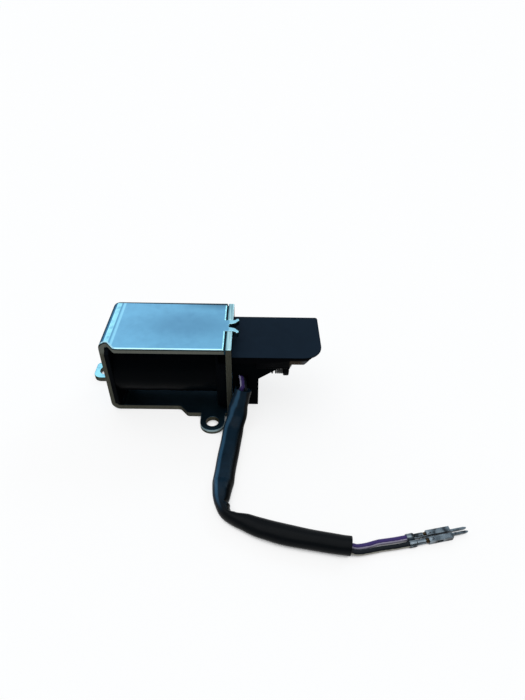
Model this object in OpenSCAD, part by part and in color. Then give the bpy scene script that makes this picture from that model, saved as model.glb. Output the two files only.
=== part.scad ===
// Shift lock solenoid: an open steel frame holds a coil, whose plunger pulls a
// spring-loaded lock bolt in through the end plate. Two leads leave in a sleeve.
// The origin is the middle of the frame's underside, +X points along the bolt.

/* [Frame] */
// Length over the left wall and the end plate
frame_len = 45; // [43:0.5:50]
// Depth of the strip, front to back
frame_depth = 27; // [26:0.5:30]
// Height over the two plates
frame_h = 32; // [31:0.5:35]
// Thickness of the bent strip
sheet_t = 2; // [1.6:0.1:2.2]
// Outer radius of the two bends
bend_r = 3.2; // [2.8:0.1:4]
// How far the narrow stretch of the strip lies back at the front
front_step = 3.4; // [2:0.1:4]
// Length along X over which the strip widens
flare_run = 2.9; // [2.4:0.1:4]
// Radius of the two corners of each widening
flare_r = 1.6; // [1:0.1:2]
// Left wall to the start of the widening, top plate
top_flare_from = 3.2; // [3:0.1:6]
// Left wall to the start of the widening, bottom plate
bottom_flare_from = 25.5; // [20:0.1:26]

/* [End plate] */
// Thickness of the end plate
end_t = 2; // [1.6:0.1:2.5]
// Width of the groove between the strip's shoulders and the end plate
shoulder_gap = 0.4; // [0.2:0.1:0.8]
// Depth of that groove from the outside; below it the shoulders touch the plate
shoulder_relief = 0.9; // [0.4:0.1:1.2]
// Width of each staking tab
tab_w = 6.4; // [5:0.2:8]
// How far the split prongs stand past the end plate
tab_reach = 2.2; // [1.8:0.1:3]
// How far each prong is spread
tab_spread = 1.3; // [0.8:0.1:1.6]
// Width of the slot between the prongs
tab_slot_w = 2.2; // [1.6:0.1:2.4]
// Width of each prong's tip
prong_tip_w = 1.3; // [1.1:0.1:1.6]

/* [Mounting ears] */
// Width of each ear
ear_w = 8.8; // [8.8:0.2:10]
// Diameter of the screw holes
ear_hole_d = 4.6; // [4:0.1:5.4]
// Radius of the front ear's corners
front_ear_r = 4.2; // [3:0.1:4.3]
// Radius of the left ear's front corner
left_ear_r = 3; // [2:0.1:4]
// Radius of the left ear's back corner
left_ear_back_r = 1.2; // [0.8:0.1:2]
// End plate's outer face to the front ear's hole
front_ear_inset = 7.2; // [7:0.2:9]
// Strip's front edge to the front ear's hole
front_ear_reach = 4.1; // [3.5:0.1:6]
// Left wall's outer face to the left ear's hole
left_ear_reach = 6.7; // [6:0.1:8]
// Height of the notch that the left ear leaves in the wall
ear_notch_h = 11.5; // [10:0.5:14]

/* [Coil] */
// Width of the bobbin's flanges
flange_w = 23.4; // [23:0.2:25]
// Thickness of the left flange
flange_t = 1.6; // [1.2:0.1:2.2]
// Thickness of the right flange, which takes the bolt's tongue and the pins
terminal_block_t = 3.6; // [3.6:0.1:5]
// Radius that rounds the flanges' corners, about the coil's axis
flange_round_r = 16.4; // [15.6:0.1:18]
// Wall of the bobbin's tube
bobbin_wall = 1; // [0.8:0.1:1.4]
// Radial depth of the winding
winding_depth = 5.3; // [4:0.1:5.4]
// Thickness of the tape over the winding
wrap_t = 0.6; // [0.3:0.1:0.8]

/* [Plunger] */
// Diameter of the plunger
plunger_d = 8; // [7:0.1:8.6]
// Radial running clearance of the plunger and its neck
running_gap = 0.05; // [0.03:0.01:0.08]
// Wall of the guide sleeve
sleeve_wall = 0.4; // [0.3:0.05:0.5]
// Diameter of the plunger's neck
neck_d = 5; // [4.4:0.1:5.4]
// Diameter of the groove that holds the bolt
groove_d = 3; // [2.6:0.1:3.4]
// Diameter of the head past the groove
head_d = 4.4; // [4:0.1:4.4]
// Length of the head past the groove
head_len = 1.1; // [0.8:0.1:1.6]
// Travel of the bolt
stroke = 3.5; // [2.5:0.1:3.6]
// Length of the fixed core inside the frame
core_len = 12.5; // [10:0.5:15]
// Diameter of the core's riveted tail
core_tail_d = 5; // [4:0.1:5.6]
// Thickness of the rubber disc on the core
pull_damper_t = 0.5; // [0.4:0.1:1]
// Thickness of the rubber ring on the plunger
rest_damper_t = 1.5; // [1:0.1:2]

/* [Lock bolt] */
// Width of the bolt
bolt_w = 23.6; // [22:0.2:24]
// Thickness of the bolt's plate
bolt_t = 2.9; // [2.4:0.1:3.2]
// Frame's top to the bolt's top
bolt_drop = 4.6; // [4.2:0.1:5.4]
// End plate's outer face to the bolt's nose
bolt_reach = 30.9; // [29:0.1:34]
// Radius of the latch corner
latch_r = 6.8; // [4:0.2:9]
// Radius of the other nose corner
nose_r = 1; // [0.6:0.1:2]
// Length of the bevel under the nose
nose_bevel = 3.2; // [1:0.1:4]
// Thickness left at the nose above the bevel
nose_land = 0.5; // [0.3:0.1:1]
// Height of the side skirts below the plate
skirt_h = 2.1; // [1.6:0.1:2.6]
// Thickness of the side skirts
skirt_t = 1; // [0.8:0.1:1.4]
// Thickness of the bulkhead that the plunger pulls
bulkhead_t = 2; // [1.6:0.1:2.4]
// Half width and bottom radius of the bulkhead
bulkhead_r = 5.4; // [4.8:0.05:6]
// Bulkhead's outer face to the bolt's nose
bulkhead_inset = 10.6; // [10:0.1:12]

/* [Nose guide] */
// End plate's outer face to the guide's inner wall
guide_channel = 5.5; // [5.2:0.1:6.5]
// Thickness of the guide's wall
guide_wall_t = 3.7; // [3:0.1:4]
// Height of the guide's foot above the underside
guide_foot_z = 3.6; // [3:0.2:5]
// Thickness of the guide's flange on the end plate
guide_flange_t = 1.1; // [0.9:0.1:1.4]
// Thickness of the slanted cheeks
cheek_t = 2; // [1.5:0.1:2.5]
// Height of the cheeks' lower end below the bolt
cheek_h = 7.8; // [6:0.2:9]
// Reach of the cheeks past the wall
cheek_reach = 10.8; // [8:0.1:11.4]
// Lower edge of the bridge over the wires, below the bolt
bridge_h = 6.5; // [6:0.1:6.8]
// Thickness of the bridge over the wires
bridge_t = 1; // [0.8:0.1:1.1]
// Clearance between the bolt and what it slides past
slide_gap = 0.3; // [0.25:0.05:0.4]
// Diameter of the two locating pegs
peg_d = 3; // [2.4:0.1:3.6]

/* [Return spring] */
// Outer diameter of the spring
spring_d = 8.8; // [8:0.1:9.6]
// Wire of the spring
spring_wire = 0.7; // [0.5:0.05:0.75]
// Open turns between the closed ends
spring_turns = 4; // [3:1:4]
// Closed turns at the bolt's end
spring_closed = 2.75; // [1:0.25:3]

/* [Leads] */
// Diameter of each lead over its insulation
lead_d = 1.6; // [1.4:0.05:1.7]
// Width of the soft sleeve over the leads
sheath_w = 6.3; // [5.8:0.1:6.4]
// Height of the sleeve, which is pressed to an oval
sheath_h = 5.5; // [5:0.1:5.8]
// Wall of the sleeve
sheath_wall = 0.5; // [0.3:0.05:0.6]
// Diameter of the grommet in the end plate
grommet_d = 4.4; // [4.3:0.1:5]
// Half the spacing of the leads in the grommet
lead_half_gap = 0.9; // [0.88:0.02:1]
// Clearance of the leads in the grommet
lead_gap = 0.05; // [0.03:0.01:0.1]
// Diameter of the coil's pins
pin_d = 0.8; // [0.6:0.1:1]

/* [Terminals] */
// Length of the crimp that grips the insulation
wing_len = 2.2; // [1.6:0.1:3]
// Length of the crimp that grips the strands
crimp_len = 3; // [2.4:0.1:3.6]
// Length of the folded box
box_len = 7.6; // [6:0.2:9]
// Width and height of the folded box
box_w = 1.6; // [1.6:0.1:1.9]
// Length of the contact pin
contact_len = 5.3; // [4:0.1:7]
// Width of the contact pin
contact_w = 0.7; // [0.5:0.05:0.8]
// Thickness of the terminals' sheet
terminal_t = 0.2; // [0.15:0.05:0.3]

/* [Hidden] */
$fn = 64;
eps = 0.01;
cut = 1;

left_x = -frame_len / 2;
out_x = frame_len / 2;
in_x = out_x - end_t;
shoulder_x = in_x - shoulder_gap;
front_y = -frame_depth / 2;
back_y = frame_depth / 2;
axis_z = frame_h / 2;
wall_in_x = left_x + sheet_t;

front_ear = [out_x - front_ear_inset, front_y - front_ear_reach];
left_ear = [left_x - left_ear_reach, back_y - ear_w / 2];

bolt_top_z = frame_h - bolt_drop;
bolt_z = bolt_top_z - bolt_t;
bolt_nose_x = out_x + bolt_reach;
tongue_len = 1;
bolt_tail_x = out_x - tongue_len;
bulkhead_x = bolt_nose_x - bulkhead_inset - bulkhead_t;
window_w = bolt_w + 2 * slide_gap;
window_z = bolt_z - slide_gap;
window_h = bolt_t + 2 * slide_gap;
pocket_depth = stroke + tongue_len - end_t + slide_gap;

guide_w = bolt_w - 2 * skirt_t - 2 * slide_gap;
guide_top_z = bolt_z - slide_gap;
guide_wall_x = out_x + guide_channel;
spring_x = guide_wall_x + guide_wall_t;
spring_len = bulkhead_x - spring_x;
skirt_x = spring_x - 1.1;

sleeve_in_d = plunger_d + 2 * running_gap;
sleeve_d = sleeve_in_d + 2 * sleeve_wall;
bore_d = sleeve_d + 0.1;
tube_d = bore_d + 2 * bobbin_wall;
winding_in_d = tube_d + 0.1;
winding_d = tube_d + 2 * winding_depth;
wrap_in_d = winding_d + 0.1;
wrap_d = wrap_in_d + 2 * wrap_t;
block_x = in_x - terminal_block_t;
winding_x = wall_in_x + flange_t;

core_face_x = wall_in_x + core_len;
stop_x = core_face_x + pull_damper_t;
plunger_x = stop_x + stroke + 0.1;
spigot_len = 1.7;
shoulder_end_x = out_x - spigot_len - rest_damper_t - 0.1;

peg_ys = [-7, 7];
peg_z = guide_foot_z + 3;

grommet_at = [3.1 - guide_w / 2, axis_z + 2.6];
grommet_len = end_t + guide_flange_t;
pin_pocket = [2.4, 4.6, 6];
pin_root = 0.8;
pin_grip = 0.9;

// Route of the leads' middle line, from the coil's pins to the crimps.
// Down to the floor: X from the end plate, Y from the grommet, share of the grommet's height
route_down = [
    [pin_grip - end_t - pin_pocket[0], 0, 1], [0.9, 0, 1], [2.2, -0.2, 0.968], [3.1, -1.1, 0.897],
    [3.65, -2.8, 0.827], [3.9, -4.5, 0.767], [4, -5.7, 0.7], [3.4, -7.1, 0.5],
    [2.6, -8.4, 0.314], [1.8, -10.4, 0.128], [0.9, -13.4, 0.026]
];
// Along the floor: X from the end plate, Y from the strip's front, share of the sleeve's height
route_lie = [
    [0.3, -10.5, 1], [-0.3, -16, 1], [-0.7, -22, 1], [-1.1, -27.9, 1], [-1.5, -32.5, 1],
    [-1.7, -35.5, 1], [-1.4, -38.3, 1], [-0.3, -41, 1], [1.9, -43.6, 1], [5.5, -45.4, 1],
    [10, -46.8, 1], [15.8, -48.3, 1], [21.6, -49.4, 1], [27.3, -50.5, 1], [32.9, -51.5, 1],
    [36, -51.9, 1], [38, -51.9, 0.784], [41, -51.5, 0.297], [45, -50.7, 0.027],
    [50, -49.9, 0], [55.4, -48.8, 0]
];
sleeve_z = sheath_h / 2;
terminal_z = box_w / 2 + terminal_t + lead_gap;
route = concat(
    [for (p = route_down)
        [out_x + p[0], grommet_at[0] + p[1], sleeve_z + p[2] * (grommet_at[1] - sleeve_z)]],
    [for (p = route_lie)
        [out_x + p[0], front_y + p[1], terminal_z + p[2] * (sleeve_z - terminal_z)]]
);
sheath_from = 6;
sheath_to = 26;
end_half_gap = 1.05;

function unit(v) = v / norm(v);

// Direction of a path at one of its points
function heading(path, i) =
    unit(path[min(i + 1, len(path) - 1)] - path[max(i - 1, 0)]);

// Level direction to the left of a heading
function leftward(t) = unit([-t[1], t[0], 0]);

// Oval ring of points square to a heading, half as wide as a and half as high as b
function ring(at, t, a, b, sides) =
    let (u = leftward(t), v = cross(t, u))
    [for (k = [0 : sides - 1])
        at + a * cos(360 * k / sides) * u + b * sin(360 * k / sides) * v];

// Faces of a tube of rings, closed by a flat end at each side
function tube_faces(rings, sides) = concat(
    [[for (k = [sides - 1 : -1 : 0]) k]],
    [for (i = [0 : rings - 2]) for (k = [0 : sides - 1])
        let (a = i * sides + k, b = i * sides + (k + 1) % sides)
        [a, b, b + sides, a + sides]],
    [[for (k = [0 : sides - 1]) (rings - 1) * sides + k]]
);

module swept_rod(path, r, sides) {
    points = [for (i = [0 : len(path) - 1]) each ring(path[i], heading(path, i), r, r, sides)];
    polyhedron(points, tube_faces(len(path), sides), convexity = 10);
}

// A solid cylinder along X
module rod_x(x0, x1, d, y = 0, z = axis_z) {
    translate([x0, y, z]) rotate([0, 90, 0]) cylinder(d = d, h = x1 - x0);
}

// A tube along X
module tube_x(x0, x1, d_out, d_in) {
    difference() {
        rod_x(x0, x1, d_out);
        rod_x(x0 - cut, x1 + cut, d_in);
    }
}

// A block between two corners
module block(low, high) {
    translate(low) cube(high - low);
}

// A flat outline in X and Z, given a depth from y0 to y1
module upright(y0, y1) {
    translate([0, y1, 0]) rotate([90, 0, 0]) linear_extrude(y1 - y0) children();
}

// The strip seen from the front: two plates and a wall joined by round bends
module strip_profile() {
    difference() {
        union() {
            translate([left_x + bend_r, 0]) square([shoulder_x - left_x - bend_r, frame_h]);
            translate([left_x, bend_r]) square([bend_r, frame_h - 2 * bend_r]);
            for (z = [bend_r, frame_h - bend_r]) translate([left_x + bend_r, z]) circle(bend_r);
            translate([shoulder_x - cut, shoulder_relief]) square([shoulder_gap + cut, frame_h - 2 * shoulder_relief]);
        }
        translate([left_x + bend_r, sheet_t]) square([frame_len, frame_h - 2 * sheet_t]);
        translate([wall_in_x, bend_r]) square([bend_r, frame_h - 2 * bend_r]);
        for (z = [bend_r, frame_h - bend_r]) translate([left_x + bend_r, z]) circle(bend_r - sheet_t);
    }
}

// Points that round the corner p between its neighbours a and b
function corner(a, p, b, r, n = 6) =
    let (
        u = unit(a - p),
        v = unit(b - p),
        half = acos(u * v) / 2,
        c = p + unit(u + v) * r / sin(half),
        q0 = p + u * r / tan(half) - c,
        q1 = p + v * r / tan(half) - c
    )
    [for (k = [0 : n]) c + r * unit(q0 * (1 - k / n) + q1 * k / n)];

// What is cut from the strip's front where it is narrow
module front_relief(flare_from, z0, z1) {
    inner = [left_x + flare_from, front_y + front_step];
    outer = [inner[0] + flare_run, front_y];
    far = [left_x - cut, inner[1]];
    foot = corner(outer + [cut, 0], outer, inner, flare_r);
    translate([0, 0, z0]) linear_extrude(z1 - z0)
        polygon(concat(
            [[far[0], front_y - cut], [foot[0][0], front_y - cut]], foot,
            corner(outer, inner, far, flare_r), [far]
        ));
}

// Half of a staking tab: beside the slot, then bent outward behind the end plate
module prong_outline() {
    half = tab_w / 2;
    slot = tab_slot_w / 2;
    slot_end = [in_x + 0.45 + slot, 0];
    tip_x = out_x + tab_reach;
    tip_y = half + tab_spread;
    inner = [out_x + 0.8, slot + 0.45];
    tip_in = [tip_x, tip_y - prong_tip_w];
    tip_out = [tip_x - 0.55, tip_y];
    outer = [out_x + 0.75, half + 0.15];
    difference() {
        polygon(concat(
            [[shoulder_x - cut, -eps], [slot_end[0], -eps], [slot_end[0], slot]],
            corner([slot_end[0], slot], inner, tip_in, 1.2),
            corner(inner, tip_in, tip_out, 0.5),
            corner(tip_in, tip_out, outer, 0.4),
            corner(tip_out, outer, [out_x, half], 0.8),
            [[out_x, half], [shoulder_x - cut, half]]
        ));
        translate(slot_end) circle(slot);
    }
}

module staking_tab(z) {
    translate([0, 0, z]) linear_extrude(sheet_t) {
        prong_outline();
        mirror([0, 1]) prong_outline();
    }
}

// An ear from its root past its hole, with its own radius at each corner
module ear(root, hole, left_r, right_r) {
    reach = hole - root;
    long = norm(reach) + ear_w / 2 - 0.2;
    translate([root[0], root[1], 0]) rotate([0, 0, atan2(reach[1], reach[0])]) linear_extrude(sheet_t) {
        translate([0, -eps]) square([long - left_r, ear_w / 2 + eps]);
        translate([0, -ear_w / 2]) square([long - right_r, ear_w / 2]);
        translate([0, right_r - ear_w / 2]) square([long, ear_w - left_r - right_r]);
        translate([long - left_r, ear_w / 2 - left_r]) circle(left_r);
        translate([long - right_r, right_r - ear_w / 2]) circle(right_r);
    }
}

module yoke_frame() {
    color("lightsteelblue") difference() {
        union() {
            difference() {
                upright(front_y, back_y) strip_profile();
                front_relief(top_flare_from, axis_z, frame_h + cut);
                front_relief(bottom_flare_from, -cut, axis_z + eps);
                block([left_x - cut, left_ear[1] - ear_w / 2 - slide_gap, -cut],
                      [left_x + bend_r, back_y + cut, ear_notch_h]);
            }
            staking_tab(0);
            staking_tab(frame_h - sheet_t);
            ear([front_ear[0], front_y + sheet_t], front_ear, front_ear_r, front_ear_r);
            ear([left_x + bend_r + sheet_t, left_ear[1]], left_ear, left_ear_r, left_ear_back_r);
        }
        for (p = [front_ear, left_ear])
            translate([p[0], p[1], -cut]) cylinder(d = ear_hole_d, h = sheet_t + 2 * cut);
        rod_x(left_x - cut, wall_in_x + cut, core_tail_d + 0.1);
    }
}

module end_plate() {
    color("lightsteelblue") difference() {
        block([in_x, front_y, 0], [out_x, back_y, frame_h]);
        for (z = [-cut, frame_h - sheet_t])
            block([in_x - cut, -tab_w / 2 - 0.05, z], [out_x + cut, tab_w / 2 + 0.05, z + sheet_t + cut]);
        block([in_x - cut, -window_w / 2, window_z], [out_x + cut, window_w / 2, window_z + window_h]);
        rod_x(in_x - cut, out_x + cut, sleeve_d + 0.4);
        rod_x(in_x - cut, out_x + cut, grommet_d + 0.1, grommet_at[0], grommet_at[1]);
        for (y = peg_ys) rod_x(in_x - cut, out_x + cut, peg_d + 0.1, y, peg_z);
    }
}

// Room between the strip's plates, clear of the round bends
module inside_profile() {
    r = bend_r - sheet_t + 0.6;
    translate([wall_in_x + r, sheet_t]) square([frame_len, frame_h - 2 * sheet_t]);
    translate([wall_in_x, sheet_t + r]) square([2 * r, frame_h - 2 * sheet_t - 2 * r]);
    for (z = [sheet_t + r, frame_h - sheet_t - r]) translate([wall_in_x + r, z]) circle(r);
}

// A flange of the bobbin, its corners rounded about the coil's axis
module flange(x0, x1) {
    intersection() {
        block([x0, -flange_w / 2, sheet_t], [x1, flange_w / 2, frame_h - sheet_t]);
        rod_x(x0, x1, 2 * flange_round_r);
        upright(-flange_w, flange_w) inside_profile();
    }
}

module bobbin() {
    pocket_y = grommet_at[0];
    color("#15181b") difference() {
        union() {
            flange(wall_in_x, winding_x);
            flange(block_x, in_x);
            rod_x(winding_x - eps, block_x + eps, tube_d);
        }
        rod_x(wall_in_x - cut, in_x + cut, bore_d);
        block([in_x - pocket_depth, -window_w / 2, window_z], [in_x + cut, window_w / 2, window_z + window_h]);
        block([in_x - pin_pocket[0], pocket_y - pin_pocket[1] / 2, grommet_at[1] - pin_pocket[2] / 2],
              [in_x + cut, pocket_y + pin_pocket[1] / 2, grommet_at[1] + pin_pocket[2] / 2]);
        for (s = [-1, 1])
            rod_x(in_x - pin_pocket[0] - pin_root, in_x, pin_d, pocket_y + s * lead_half_gap, grommet_at[1]);
    }
}

module coil_winding() {
    color("#8a4a22") tube_x(winding_x + 0.05, block_x - 0.05, winding_d, winding_in_d);
}

module coil_wrap() {
    color("#101214") tube_x(winding_x + 0.05, block_x - 0.05, wrap_d, wrap_in_d);
}

module guide_sleeve() {
    color("#b8923e") tube_x(wall_in_x + 0.05, out_x - 0.1, sleeve_d, sleeve_in_d);
}

module fixed_core() {
    color("silver") {
        rod_x(wall_in_x, core_face_x, plunger_d);
        rod_x(left_x - eps, wall_in_x + eps, core_tail_d);
        rod_x(left_x - 0.7, left_x, core_tail_d + 1.4);
    }
}

module pull_damper() {
    color("#202020") rod_x(core_face_x, stop_x, plunger_d - 2);
}

module plunger() {
    groove_x = bulkhead_x + bulkhead_t + 0.1;
    color("silver") {
        rod_x(plunger_x, shoulder_end_x, plunger_d);
        rod_x(shoulder_end_x - eps, bulkhead_x, neck_d);
        rod_x(bulkhead_x - eps, groove_x + eps, groove_d);
        rod_x(groove_x, groove_x + head_len, head_d);
    }
}

module rest_damper() {
    color("#202020")
        tube_x(shoulder_end_x, shoulder_end_x + rest_damper_t, plunger_d - 0.6, neck_d + 0.1);
}

// The slanted cheek seen from the side
module cheek_profile() {
    polygon([
        [spring_x - 0.5, guide_top_z - cheek_h], [spring_x, guide_top_z - cheek_h],
        [spring_x + cheek_reach, guide_top_z], [spring_x - 0.5, guide_top_z]
    ]);
}

module nose_guide() {
    side = guide_w / 2;
    slot_y = grommet_at[0] + 2;
    slot_x = out_x + guide_flange_t;
    color("#191c20") difference() {
        union() {
            block([out_x, -side, guide_foot_z], [spring_x, side, guide_top_z]);
            upright(-side, -side + cheek_t) cheek_profile();
            upright(side - cheek_t, side) cheek_profile();
            rod_x(out_x - spigot_len, out_x + eps, plunger_d - 0.1);
            for (y = peg_ys) rod_x(in_x, out_x + eps, peg_d, y, peg_z);
        }
        rod_x(out_x - spigot_len - cut, spring_x + cut, neck_d + 2 * running_gap);
        block([slot_x, -side - cut, guide_foot_z - cut], [guide_wall_x, slot_y, bolt_z - bridge_h]);
        block([slot_x, -side + bridge_t, bolt_z - bridge_h - eps], [guide_wall_x, slot_y, guide_top_z - 1.5]);
        block([slot_x, -slot_y, guide_foot_z - cut], [guide_wall_x, side + cut, guide_top_z - 1.5]);
        rod_x(out_x - cut, slot_x + cut, grommet_d + 0.1, grommet_at[0], grommet_at[1]);
    }
}

// The bolt seen from above, with its rounded latch corner at the front
module bolt_outline() {
    half = bolt_w / 2;
    translate([bolt_tail_x, -half]) square([bolt_nose_x - latch_r - bolt_tail_x, bolt_w]);
    translate([bolt_tail_x, -half + latch_r]) square([bolt_nose_x - bolt_tail_x, bolt_w - latch_r - nose_r]);
    translate([bolt_tail_x, 0]) square([bolt_nose_x - nose_r - bolt_tail_x, half]);
    translate([bolt_nose_x - latch_r, -half + latch_r]) circle(latch_r);
    translate([bolt_nose_x - nose_r, half - nose_r]) circle(nose_r);
}

// The bulkhead seen from its end, slotted from below for the plunger's groove
module bulkhead_outline() {
    slot = groove_d + 0.1;
    difference() {
        union() {
            circle(bulkhead_r);
            translate([-bulkhead_r, 0]) square([2 * bulkhead_r, bolt_z - axis_z + eps]);
        }
        circle(d = slot);
        translate([-slot / 2, -2 * bulkhead_r]) square([slot, 2 * bulkhead_r]);
    }
}

module lock_bolt() {
    half = bolt_w / 2;
    color("#1e2833") {
        difference() {
            translate([0, 0, bolt_z]) linear_extrude(bolt_t) bolt_outline();
            upright(-bolt_w, bolt_w) polygon([
                [bolt_nose_x, bolt_top_z - nose_land], [bolt_nose_x + cut, bolt_top_z - nose_land],
                [bolt_nose_x + cut, bolt_z - cut], [bolt_nose_x - nose_bevel, bolt_z - cut],
                [bolt_nose_x - nose_bevel, bolt_z]
            ]);
        }
        for (y = [-half, half - skirt_t])
            block([skirt_x, y, bolt_z - skirt_h], [bulkhead_x + bulkhead_t - 0.3, y + skirt_t, bolt_z + eps]);
        translate([bulkhead_x, 0, axis_z]) rotate([90, 0, 90]) linear_extrude(bulkhead_t) bulkhead_outline();
    }
}

// Middle line of the spring's wire: one closed turn on the guide, open turns, closed turns on the bolt
function spring_point(n) =
    let (
        closed = spring_wire * 1.05,
        open_end = 1 + spring_turns,
        pitch = (spring_len - spring_wire - closed * (1 + spring_closed)) / spring_turns,
        x = n < 1 ? closed * n
            : n > open_end ? closed + pitch * spring_turns + closed * (n - open_end)
            : closed + pitch * (n - 1),
        a = 360 * n - 106,
        r = (spring_d - spring_wire) / 2
    )
    [spring_x + spring_wire / 2 + x, r * cos(a), axis_z + r * sin(a)];

module return_spring() {
    sides = 8;
    steps = 16 * (1 + spring_turns + spring_closed);
    path = [for (k = [0 : steps]) spring_point(k / 16)];
    points = [for (i = [0 : len(path) - 1])
        let (
            t = heading(path, i),
            out = unit([0, path[i][1], path[i][2] - axis_z]),
            v = cross(t, out)
        )
        each [for (k = [0 : sides - 1])
            path[i] + spring_wire / 2 * (cos(360 * k / sides) * out + sin(360 * k / sides) * v)]];
    color("gainsboro") polyhedron(points, tube_faces(len(path), sides), convexity = 10);
}

module coil_pins() {
    color("silver") for (s = [-1, 1])
        rod_x(in_x - pin_pocket[0] - pin_root, route[0][0], pin_d, grommet_at[0] + s * lead_half_gap, grommet_at[1]);
}

module wire_grommet() {
    color("#222222") difference() {
        rod_x(in_x, in_x + grommet_len, grommet_d, grommet_at[0], grommet_at[1]);
        for (s = [-1, 1])
            rod_x(in_x - cut, in_x + grommet_len + cut, lead_d + 2 * lead_gap,
                  grommet_at[0] + s * lead_half_gap, grommet_at[1]);
    }
}

module wire_sheath() {
    sides = 12;
    a = sheath_w / 2;
    b = sheath_h / 2;
    outer = [for (i = [sheath_from : sheath_to]) each ring(route[i], heading(route, i), a, b, sides)];
    inner = [for (i = [sheath_from : sheath_to])
        each ring(route[i], heading(route, i), a - sheath_wall, b - sheath_wall, sides)];
    rings = sheath_to - sheath_from + 1;
    n = rings * sides;
    walls = [for (i = [0 : rings - 2]) for (k = [0 : sides - 1])
        let (a = i * sides + k, b = i * sides + (k + 1) % sides)
        each [[a, b, b + sides, a + sides], [n + b, n + a, n + a + sides, n + b + sides]]];
    ends = [for (k = [0 : sides - 1])
        let (a = k, b = (k + 1) % sides, e = n - sides)
        each [[b, a, n + a, n + b], [e + a, e + b, n + e + b, n + e + a]]];
    color("#141d26") polyhedron(concat(outer, inner), concat(walls, ends), convexity = 10);
}

// Turn of the pair about the route: level in the grommet, one lead to the front at the sleeve, level again
function pair_turn(i) =
    i <= 1 ? 0
    : i < sheath_from ? -40 * (i - 1) / (sheath_from - 1)
    : -40 - 140 * min((i - sheath_from) / (sheath_to - sheath_from), 1);

// Middle line of one lead: beside the route by half the spacing
function lead_path(side) = [for (i = [0 : len(route) - 1])
    let (
        t = heading(route, i),
        u = leftward(t),
        v = cross(t, u),
        twist = pair_turn(i),
        gap = i > sheath_to + 2 ? end_half_gap : lead_half_gap
    )
    route[i] - side * gap * (cos(twist) * u + sin(twist) * v)];

module violet_lead() {
    color("#4a3a80") swept_rod(lead_path(1), lead_d / 2, 8);
}

module black_lead() {
    color("#101820") swept_rod(lead_path(-1), lead_d / 2, 8);
}

// A pin terminal along X from the end of a lead, its floor towards the other lead
module pin_terminal(side) {
    grip_r = lead_d / 2 + lead_gap;
    box_x = crimp_len + 1;
    half = box_w / 2;
    inner = box_w - 2 * terminal_t;
    mirror([0, side > 0 ? 0 : 1, 0]) difference() {
        union() {
            translate([-wing_len, 0, 0]) rotate([0, 90, 0]) cylinder(r = grip_r + terminal_t, h = wing_len);
            translate([0.3, 0, 0]) rotate([0, 90, 0]) cylinder(r = grip_r - 0.15, h = crimp_len - 0.3);
            translate([-wing_len, -half, -contact_w / 2]) cube([wing_len + box_x + terminal_t, 2 * terminal_t, contact_w]);
            translate([crimp_len - 0.2, -half, -0.35 * box_w]) cube([box_x - crimp_len + 0.4, half, 0.7 * box_w]);
            translate([box_x, -half, -half]) cube([box_len, box_w, box_w]);
            translate([box_x + 1, 0, half - eps]) rotate([90, 0, 0]) linear_extrude(contact_w, center = true)
                polygon([[-0.6, 0], [0.7, 0], [0.1, 0.4]]);
            translate([box_x + box_len - eps, -half, -contact_w / 2]) linear_extrude(contact_w)
                polygon([
                    [0, 0], [contact_len - 0.8, 0], [contact_len, contact_w * 0.3],
                    [contact_len, contact_w * 0.7], [contact_len - 0.8, contact_w], [0, contact_w]
                ]);
        }
        translate([-wing_len - cut, 0, 0]) rotate([0, 90, 0]) cylinder(r = grip_r, h = wing_len + cut);
        translate([-wing_len - cut, 0, -0.15]) cube([wing_len + cut, box_w, 0.3]);
        translate([0, 0.45, -0.1]) cube([crimp_len + 0.1, box_w, 0.2]);
        translate([box_x - cut, -inner / 2, -inner / 2]) cube([box_len + cut - terminal_t, inner, inner]);
        translate([box_x + 2.6, 0, -0.45]) cube([1.8, box_w, 0.9]);
    }
}

// A terminal laid at the end of a lead, in the lead's own direction
module terminal_on(path, side) {
    last = len(path) - 1;
    t = unit(path[last] - path[last - 1]);
    translate(path[last]) rotate([0, 0, atan2(t[1], t[0])]) pin_terminal(side);
}

module violet_terminal() {
    color("#9aa3a6") terminal_on(lead_path(1), 1);
}

module black_terminal() {
    color("#9aa3a6") terminal_on(lead_path(-1), -1);
}

yoke_frame();
end_plate();
bobbin();
coil_winding();
coil_wrap();
guide_sleeve();
fixed_core();
pull_damper();
plunger();
rest_damper();
nose_guide();
lock_bolt();
return_spring();
coil_pins();
wire_grommet();
wire_sheath();
violet_lead();
black_lead();
violet_terminal();
black_terminal();
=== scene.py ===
import bmesh
import bpy
import numpy as np
from mathutils import Matrix


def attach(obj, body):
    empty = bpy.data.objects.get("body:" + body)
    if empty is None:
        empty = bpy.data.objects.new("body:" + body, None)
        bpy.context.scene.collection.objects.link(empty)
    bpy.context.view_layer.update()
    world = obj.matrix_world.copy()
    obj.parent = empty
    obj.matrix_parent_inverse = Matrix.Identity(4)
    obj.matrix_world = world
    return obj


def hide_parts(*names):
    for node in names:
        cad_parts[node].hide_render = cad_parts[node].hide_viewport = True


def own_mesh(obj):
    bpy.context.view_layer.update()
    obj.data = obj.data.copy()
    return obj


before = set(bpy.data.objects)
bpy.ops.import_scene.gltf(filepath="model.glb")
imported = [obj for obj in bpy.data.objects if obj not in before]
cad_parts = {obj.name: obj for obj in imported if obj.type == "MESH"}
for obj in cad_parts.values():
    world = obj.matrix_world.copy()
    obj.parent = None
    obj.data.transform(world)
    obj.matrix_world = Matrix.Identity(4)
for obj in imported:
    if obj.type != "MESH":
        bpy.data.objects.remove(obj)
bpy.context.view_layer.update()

# Bent frame.
# One strip of 2 mm cold-rolled steel, blanked with two ears and two tabs, folded to an open U
# that lies on its side, and plated with blue zinc. The ears are screwed down.

MM = 0.001
FRAME_H = 32
BEND_X, BEND_R = -19.3, 3.2
EAR_Y = -13.6
EAR_HOLE, EAR_HOLE_R = (15.3, -17.6), 2.3
SLIT_Y = 4.3, 4.8
DIE_ROLL = 0.75


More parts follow.
